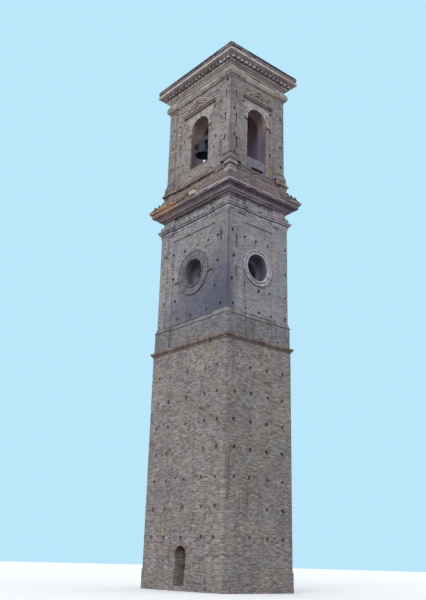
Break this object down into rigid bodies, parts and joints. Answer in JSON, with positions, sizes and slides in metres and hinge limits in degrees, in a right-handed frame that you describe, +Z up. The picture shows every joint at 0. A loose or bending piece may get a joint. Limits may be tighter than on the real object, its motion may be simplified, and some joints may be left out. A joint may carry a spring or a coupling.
{
  "type": "brick bell tower",
  "caption": "Oblong brick bell tower with corner piers, round windows, a corbelled cornice, an arched belfry with a swinging bell, and a low hipped tile roof.",
  "frame": {"origin": "centre of the tower's foot, on the ground", "axes": "+Z up, -Y towards the front, X along the narrow front"},
  "size_m": [7.4, 9.4, 39.4923],
  "materials": {
    "brick": "weathered facing brick with wide lime joints",
    "moulded_brick": "moulded reddish brick, weathered",
    "plaster": "smooth weathered plaster",
    "paving": "worn stone paving",
    "tiles": "dark weathered clay tiles",
    "timber": "aged grey timber",
    "iron": "dark wrought iron",
    "bronze": "dark bronze with green patina"
  },
  "bodies": {
    "tower": {"ground_floor": "paving", "shaft_wall_front": "brick", "shaft_wall_back": "brick", "shaft_wall_left": "brick", "shaft_wall_right": "brick", "string_course": "moulded_brick", "stage_base_course": "brick", "stage_floor": "brick", "stage_piers": "brick", "stage_wall_front": "brick", "stage_wall_back": "brick", "stage_wall_left": "brick", "stage_wall_right": "brick", "oculus_rings": "moulded_brick", "oculus_ledges": "moulded_brick", "mid_architrave": "brick", "mid_frieze": "brick", "mid_cornice": "moulded_brick", "mid_cornice_crown": "tiles", "mid_weathering": "moulded_brick", "belfry_pedestal": "brick", "belfry_base_course": "brick", "belfry_floor": "brick", "belfry_pier_bases": "brick", "belfry_piers": "brick", "belfry_wall_front": "brick", "belfry_wall_back": "brick", "belfry_wall_left": "brick", "belfry_wall_right": "brick", "parapet_front": "plaster", "parapet_back": "plaster", "parapet_left": "brick", "parapet_right": "brick", "impost_blocks": "moulded_brick", "gable_hoods": "moulded_brick", "top_architrave": "brick", "top_frieze": "brick", "dentil_course": "moulded_brick", "top_cornice": "brick", "roof_deck": "timber", "roof_tiles": "tiles", "bell_bearings": "iron"},
    "bell_swing": {"bell_headstock": "timber", "bell": "bronze"},
    "clapper": {"bell_clapper": "iron"}
  },
  "joints": [
    {"name": "bell_swing_hinge", "type": "hinge", "parent": "tower", "child": "bell_swing", "pos_m": [-2.19, 0, 32.45], "axis": [0, 1, 0], "range_deg": [-50, 50]},
    {"name": "clapper_hinge", "type": "hinge", "parent": "bell_swing", "child": "clapper", "pos_m": [-2.19, 0, 31.976], "axis": [0, 1, 0], "range_deg": [-30, 30]}
  ]
}
